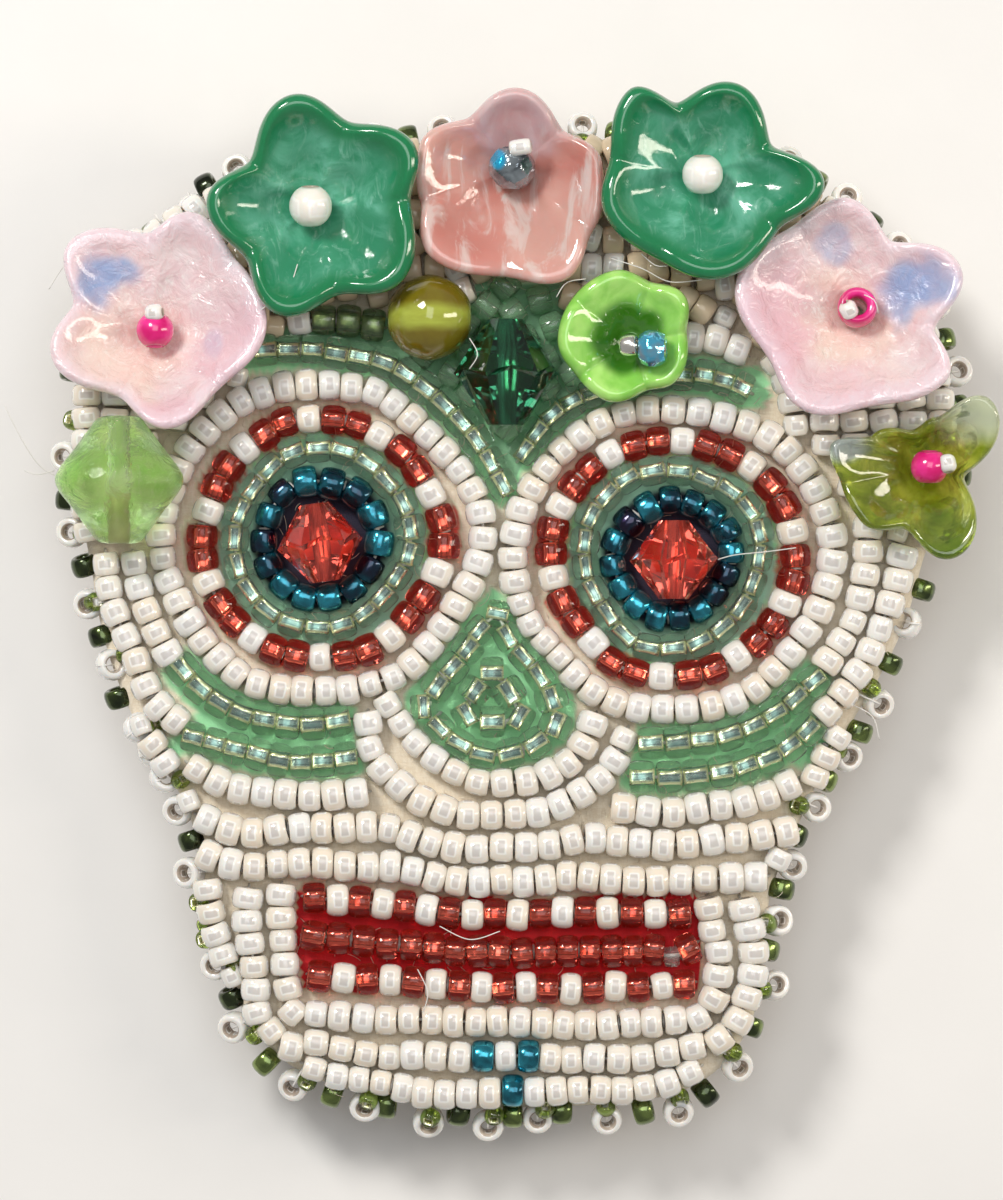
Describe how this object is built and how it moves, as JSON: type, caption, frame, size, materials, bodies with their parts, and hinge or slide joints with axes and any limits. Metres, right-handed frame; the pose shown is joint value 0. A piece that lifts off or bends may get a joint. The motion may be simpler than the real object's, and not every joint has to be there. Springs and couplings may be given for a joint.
{
  "type": "beaded skull brooch",
  "caption": "Bead-embroidered sugar-skull brooch with a crown of pressed-glass flowers, looped bead edging, suede back and a bar pin with a turning safety catch.",
  "frame": {"origin": "centre of the bounding box's underside: the brooch lies face up, and its pin finding is the lowest thing", "axes": "+Z out of the skull's face, +Y towards the flower crown, +X to the viewer's right"},
  "size_m": [0.0634, 0.0706, 0.0155],
  "materials": {
    "pearl_white": "pearl lustre, opaque",
    "red_glass": "silver-lined transparent red, with white beads",
    "seafoam_glass": "silver-lined translucent green",
    "teal_glass": "opaque dark teal, metallic iris",
    "crystal_red": "cut and polished",
    "jade_glass": "pressed, swirled, glossy",
    "coral_glass": "pressed, streaked, glossy",
    "opal_pink_glass": "pressed, opaline, glossy",
    "olive_glass": "pressed, transparent, glossy",
    "lime_glass": "pressed, opaque, glossy",
    "crystal_green": "cut and polished",
    "light_green_glass": "pressed, transparent, glossy",
    "hot_pink_pearl": "pearl coat, glossy",
    "grey_crystal": "cut, iridescent coat",
    "edge_glass": "white pearl and dark olive metallic beads",
    "felt": "felted",
    "card": "plain stiffener sheet",
    "suede": "synthetic suede",
    "steel": "plated, lightly worn"
  },
  "bodies": {
    "brooch": {"backing": "suede", "catch_post": "steel", "chin_row": "pearl_white", "edge_beading": "edge_glass", "face_row_1_left": "pearl_white", "face_row_1_right": "pearl_white", "face_row_2": "pearl_white", "face_row_3": "pearl_white", "faceted_stop_bead": "grey_crystal", "forehead_row_left": "pearl_white", "forehead_row_right": "pearl_white", "foundation": "felt", "green_bicone": "crystal_green", "green_flower_left": "jade_glass", "green_flower_right": "jade_glass", "hinge_bracket": "steel", "hinge_rivet": "steel", "jaw_frame_row": "pearl_white", "lantern_bead": "light_green_glass", "left_brow_row": "seafoam_glass", "left_cheek_rows": "seafoam_glass", "left_eye_crystal": "crystal_red", "left_eye_green_ring": "seafoam_glass", "left_eye_red_white_ring": "red_glass", "left_eye_teal_ring": "teal_glass", "left_eye_white_ring": "pearl_white", "left_pearl": "pearl_white", "left_pink_stop_bead": "hot_pink_pearl", "left_temple_rows": "pearl_white", "lime_flower": "lime_glass", "lime_rondelle": "grey_crystal", "mouth_bottom_row": "red_glass", "mouth_frame_row": "pearl_white", "mouth_middle_row": "red_glass", "mouth_top_row": "red_glass", "nose_inner_row": "seafoam_glass", "nose_outline_row": "seafoam_glass", "nose_surround_inner_row": "pearl_white", "nose_surround_outer_row": "pearl_white", "olive_round_bead": "olive_glass", "olive_star_flower": "olive_glass", "pale_flower_left": "opal_pink_glass", "pale_flower_right": "opal_pink_glass", "pin_bar": "steel", "pink_flower_centre": "coral_glass", "right_brow_row": "seafoam_glass", "right_cheek_rows": "seafoam_glass", "right_eye_crystal": "crystal_red", "right_eye_green_ring": "seafoam_glass", "right_eye_red_white_ring": "red_glass", "right_eye_teal_ring": "teal_glass", "right_eye_white_ring": "pearl_white", "right_pearl": "pearl_white", "right_pink_stop_bead": "hot_pink_pearl", "right_temple_rows": "pearl_white", "star_stop_bead": "hot_pink_pearl", "stiffener": "card"},
    "stem": {"pin_stem": "steel"},
    "sleeve": {"catch_sleeve": "steel"}
  },
  "joints": [
    {"name": "pin_swing", "type": "hinge", "parent": "brooch", "child": "stem", "pos_m": [-0.016, 0.01, 0.00178], "axis": [0, 1, 0], "range_deg": [0, 75]},
    {"name": "catch_turn", "type": "hinge", "parent": "brooch", "child": "sleeve", "pos_m": [0.0156, 0.01, 0.00178], "axis": [1, 0, 0], "range_deg": [0, 90]}
  ]
}
